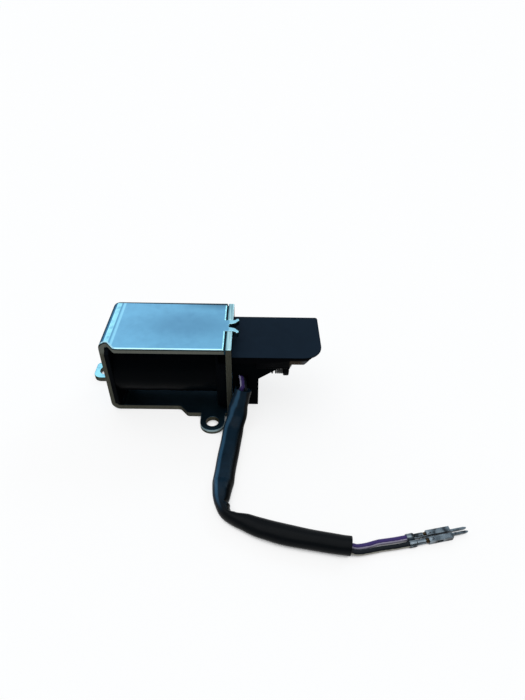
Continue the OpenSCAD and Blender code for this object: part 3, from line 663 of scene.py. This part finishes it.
def sleeve_tube():
    """A soft tube along the route, pressed to an oval: its half width follows the place on the route, its half height
    is what keeps the girth as far as the folds allow, and where it lies its underside rests on the floor. Two folds are
    pressed in on the inside of the bend: each lowers the radius by a bell curve along the route times the square of how
    far the side faces into the bend, and the wall between them bulges. Rings go along the outside and come back along
    the bore, so both ends are square cuts."""
    part = (route_index >= SLEEVE_FROM) & (route_index <= SLEEVE_TO)
    path, s = route[part], route_index[part][:, None]
    a = np.linspace(0, 2 * np.pi, 48, endpoint=False)[None, :]
    places = [6, 8, 9, 10, 11, 13, 14.5, 15, 16, 17, 18, 18.5, 19, 20, 21, 22, 23, 26]
    halves = [3, 3.4, 3.5, 3.6, 3.55, 3.5, 3.5, 3.2, 2.8, 2.15, 1.8, 1.75, 1.8, 2.6, 3, 3.1, 2.95, 2.8]
    wide = np.interp(s, places, halves)
    most_high = np.interp(s, [10, 12, 15.5, 16.5, 20.5, 21.5], [2.95, 2.7, 2.7, 2.45, 2.45, 2.7])
    high = np.minimum((SLEEVE_W + SLEEVE_H) / 2 - wide, most_high)
    inward = np.clip(np.cos(a - 0.35), 0, 1) ** 2
    slope = 0.2 * np.sin(a)
    fold = 0.14 * bell(s, 16.9 + slope, 0.22) + 0.3 * bell(s, 18.55 - slope, 0.26)
    bulge = 0.2 * bell(s, 17.5, 0.3)
    flat = 0.06 * bell(s, 17.4, 1.6) * np.sin(a) ** 2
    wave = 0.012 * np.sin(1.7 * s + 0.4) + 0.01 * np.sin(3.1 * s + 2 * a)
    r = 1 - fold * inward + bulge * inward - flat + wave
    ring = np.stack([wide * r * np.cos(a), high * r * np.sin(a)], -1)
    size = np.linalg.norm(ring, axis=-1, keepdims=True)
    bore = ring * (size - SLEEVE_WALL) / size
    drop = np.interp(s[:, 0], [9.5, 11], [0, 1]) * (SLEEVE_H / 2 - high[:, 0])
    laid = path - drop[:, None] * np.array([0, 0, 1])
    lip = 0.96
    outside = carried(laid, ring)
    inside = carried(laid, bore)
    ends = carried(laid, ring * lip + bore * (1 - lip))
    points = np.concatenate([outside, ends[-1:], inside[::-1], ends[:1]])
    points[..., 2] = np.maximum(points[..., 2], 0)
    return points * MM, laid * MM


vinyl, tree = bare_material("soft black vinyl tube")
place = add(tree, "TexCoord").outputs
across = add(tree, "SeparateXYZ", {0: place["Normal"]}).outputs["X"]
down = add(tree, "SeparateXYZ", {0: place["Object"]}).outputs["Y"]
dust = noise(place["Object"], 3, 5, 0.5)
drag = noise(place["Object"], 0.6, 3)
# As far as the tight bend it is dusty, with a painted blue sheen of the sky, and its left side has a painted blue-grey
# highlight streak. The right side has painted shade.
upper = ramp(down, -56 * MM, -48 * MM)
streak = times(ramp(across, -0.28, -0.45), ramp(across, -0.76, -0.6), upper)
tint = blend(upper, "#0a0d10", blend(dust, "#0d1a24", "#132736"))
tint = blend(streak, tint, "#2b4b63")
tint = blend(ramp(across, 0.25, 0.6), tint, "#030506")
rough = ramp(dust, 0.3, 0.7, 0.27, 0.38, "LINEAR")
looks = {"Base Color": tint, "Roughness": rough, "IOR": 1.53, "Specular IOR Level": 0.05}
surface(tree, looks, drag, 0.12, 0.04)
tube_points, tube_path = sleeve_tube()
sleeve = lattice("vinyl_sleeve", tube_points, vinyl, round_rows=True)
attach(sleeve, "frame")
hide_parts("wire_sheath")

# Leads and their terminals.
# Two stranded wires with extruded vinyl insulation, one violet and one black, each with a printed
# stripe. They turn half round each other in the sleeve and end in stamped, crimped pin terminals.

LEAD_R = 0.8
LEAD_GAP = 0.9
END_GAP = 1.05


def lead_line(side):
    """Middle line of one lead: beside the route by half the spacing, level in the bush, turned by 60 degrees at the
    sleeve's start, upright in the fold and turned by half a turn at the sleeve's end, where both sink to the sleeve's
    inner floor."""
    heading, left = bearings(route)
    third = np.cross(heading, left)
    turn = np.interp(route_index, [1, 2.2, 4, SLEEVE_FROM, 17, 20, SLEEVE_TO], [0, 10, 60, 60, 90, 100, 180])
    turn = -np.radians(turn)[:, None]
    gap = np.interp(route_index, [SLEEVE_TO + 2, SLEEVE_TO + 3], [LEAD_GAP, END_GAP])[:, None]
    sink = np.interp(route_index, [22, 26, 27, 28, 29], [0, 1.3, 1.05, 0.35, 0])[:, None] * np.array([0, 0, 1])
    return route - sink - side * gap * (np.cos(turn) * left + np.sin(turn) * third)


strand_copper, tree = bare_material("tarnished copper strands")
grain = noise(stretched(add(tree, "TexCoord").outputs["Object"], (0.1, 1, 1)), 0.25, 2)
tint = blend(grain, "#14110d", "#5c4a35")
shader = add(tree, "BsdfPrincipled", {"Base Color": tint, "Metallic": 1.0, "Roughness": 0.45})
add(tree, "OutputMaterial", {0: shader.outputs[0]})


def strand_brush(name, line):
    """The lead's bared strands: a bundle about 1 mm across, straight on from the lead's end, through the crimp and up
    to the box of the terminal; it spreads a little at its end."""
    heading = (line[-1] - line[-2]) / np.linalg.norm(line[-1] - line[-2])
    along = np.array([0.1, 1.5, 3.0, 3.6, 4.2])
    a = np.linspace(0, 2 * np.pi, 20, endpoint=False)
    ring = np.stack([np.cos(a), np.sin(a)], -1)[None] * (0.5 + 0.05 * np.cos(7 * a))[None, :, None]
    ring = ring * np.array([0.9, 0.9, 1.1, 1.25, 1.2])[:, None, None]
    piece = lattice(name, carried(line[-1] + along[:, None] * heading, ring) * MM, strand_copper, ends=True)
    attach(piece, "frame")
    return piece


def insulated(name, side, stripe_at, material, solid):
    """A lead as a round tube along its line. The attribute from_stripe is the cosine of the angle from the stripe,
    which turns with the lead from the first angle to the second."""
    line = lead_line(side)
    a = np.linspace(0, 2 * np.pi, 20, endpoint=False)
    piece = lattice(name, carried(line, circle(LEAD_R, len(a))) * MM, material, ends=True)
    middle = np.interp(route_index, [SLEEVE_FROM, SLEEVE_TO], stripe_at)[:, None]
    mark = piece.data.attributes.new("from_stripe", "FLOAT", "POINT")
    mark.data.foreach_set("value", np.cos(a[None, :] - middle).astype(np.float32).ravel())
    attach(piece, "frame")
    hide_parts(solid)
    strands = strand_brush(name + "_strands", line)


def striped_vinyl(name, colour, stripe):
    """Extruded vinyl, slightly glossy, with a printed stripe about 0.6 mm wide that has a soft, uneven edge."""
    made, tree = bare_material(name)
    wander = noise(add(tree, "TexCoord").outputs["Object"], 1.2, 3)
    toward = add(tree, "Attribute", attribute_name="from_stripe").outputs["Fac"]
    toward = joined("ADD", toward, ramp(wander, 0, 1, -0.1, 0.1, "LINEAR"))
    tint = blend(ramp(toward, 0.86, 0.94), colour, stripe)
    surface(tree, {"Base Color": tint, "Roughness": 0.38, "Specular IOR Level": 0.1}, wander, 0.1, 0.03)
    return made


violet_vinyl = striped_vinyl("violet vinyl with a white stripe", "#3a2d62", "#b1acc2")
black_vinyl = striped_vinyl("black vinyl with a pale stripe", "#0f151b", "#9a978c")
violet_pin = softened("violet_pin_terminal", "violet_terminal", 0.06, "frame", tin, segments=2)
black_pin = softened("black_pin_terminal", "black_terminal", 0.06, "frame", tin, segments=2)
insulated("violet_wire", 1, (2.5, 2.8), violet_vinyl, "violet_lead")
insulated("black_wire", -1, (4.7, 3.1), black_vinyl, "black_lead")

# Studio.
# A wide white floor under a soft sky that is brighter behind, two windows behind on the left and
# the right, a soft ceiling light in front, and the camera of the photograph.

paper, tree = bare_material("white floor")
look = add(tree, "LightPath").outputs
seen = most(look["Is Camera Ray"], look["Is Glossy Ray"], look["Is Transmission Ray"])
# The floor glows white where it is seen, and less so close under the part, where its shading shows.
open_to = add(tree, "AmbientOcclusion", {"Distance": 6 * MM}, samples=8).outputs["AO"]
seen = times(seen, ramp(open_to, 0.25, 0.5, 0.0, 0.8, "LINEAR"))
lit = add(tree, "BsdfDiffuse", {"Color": (0.9, 0.9, 0.9, 1)}).outputs[0]
glow = add(tree, "Emission", {"Color": (1, 1, 1, 1), "Strength": 1.0}).outputs[0]
add(tree, "OutputMaterial", {0: add(tree, "MixShader", {0: seen, 1: lit, 2: glow}).outputs[0]})
ground = bpy.data.meshes.new("floor")
ground.from_pydata([(-8, -8, 0), (8, -8, 0), (8, 8, 0), (-8, 8, 0)], [], [(0, 1, 2, 3)])
ground.materials.append(paper)
floor = bpy.data.objects.new("floor", ground)
bpy.context.scene.collection.objects.link(floor)

sky = bpy.data.worlds.new("soft sky")
sky.use_nodes = True
sky.node_tree.nodes.clear()
tree = sky.node_tree
up = add(tree, "SeparateXYZ", {0: add(tree, "TexCoord").outputs["Generated"]}).outputs
rise = ramp(up["Z"], 0.0, 0.8)
behind = ramp(up["Y"], -0.8, 0.6, 0.2, 0.95, "LINEAR")
aside = ramp(up["X"], -0.05, -0.3, 1.0, 1.3, "LINEAR")
dim = ramp(up["X"], 0.3, 0.6, 1.0, 0.35, "LINEAR")
tone = blend(rise, (0.9, 0.95, 1.0, 1), (0.85, 0.88, 0.9, 1))
air = add(tree, "Background", {"Color": tone, "Strength": times(behind, aside, dim)})
add(tree, "OutputWorld", {0: air.outputs[0]})
bpy.context.scene.world = sky


def soft_lamp(name, azimuth, height, spread, power, colour):
    """A round soft light far away: azimuth from straight behind towards +X, height above the floor and the angle it
    covers in degrees, power on a surface that faces it."""
    lamp = bpy.data.lights.new(name, "SUN")
    lamp.angle, lamp.energy, lamp.color = np.radians(spread), power, colour
    turn, rise = np.radians(azimuth), np.radians(height)
    away = np.array([np.sin(turn) * np.cos(rise), np.cos(turn) * np.cos(rise), np.sin(rise)])
    across = np.cross((0, 0, 1), away)
    across /= np.linalg.norm(across)
    pose = np.eye(4)
    pose[:3, :3] = np.stack([across, np.cross(away, across), away], 1)
    made = bpy.data.objects.new(name, lamp)
    made.matrix_world = Matrix(pose.tolist())
    bpy.context.scene.collection.objects.link(made)


soft_lamp("window_left", -50, 11, 22, 0.35, (0.6, 0.84, 1.0))
soft_lamp("window_right", 42, 34, 18, 0.5, (0.6, 0.84, 1.0))
soft_lamp("ceiling", 180, 80, 72, 1.4, (1.0, 1.0, 1.0))

LENS, PITCH, YAW, ROLL = 25.330, np.radians(39.661), np.radians(1.133), np.radians(1.477)
CAMERA_AT = (30.32, -137.95, 135.46)
ahead = np.array([np.sin(YAW) * np.cos(PITCH), np.cos(YAW) * np.cos(PITCH), -np.sin(PITCH)])
level = np.array([np.cos(YAW), -np.sin(YAW), 0])
upright = np.cross(level, ahead)
right = np.cos(ROLL) * level + np.sin(ROLL) * upright
top = np.cos(ROLL) * upright - np.sin(ROLL) * level
stand = np.eye(4)
stand[:3, :3] = np.stack([right, top, -ahead], 1)
stand[:3, 3] = np.array(CAMERA_AT) * MM
optics = bpy.data.cameras.new("camera")
optics.lens, optics.sensor_fit = LENS, "VERTICAL"
optics.sensor_height, optics.sensor_width = 36, 36
optics.clip_start, optics.clip_end = 0.005, 50
camera = bpy.data.objects.new("camera", optics)
camera.matrix_world = Matrix(stand.tolist())
bpy.context.scene.collection.objects.link(camera)
bpy.context.scene.camera = camera
bpy.context.scene.view_settings.view_transform = "Standard"
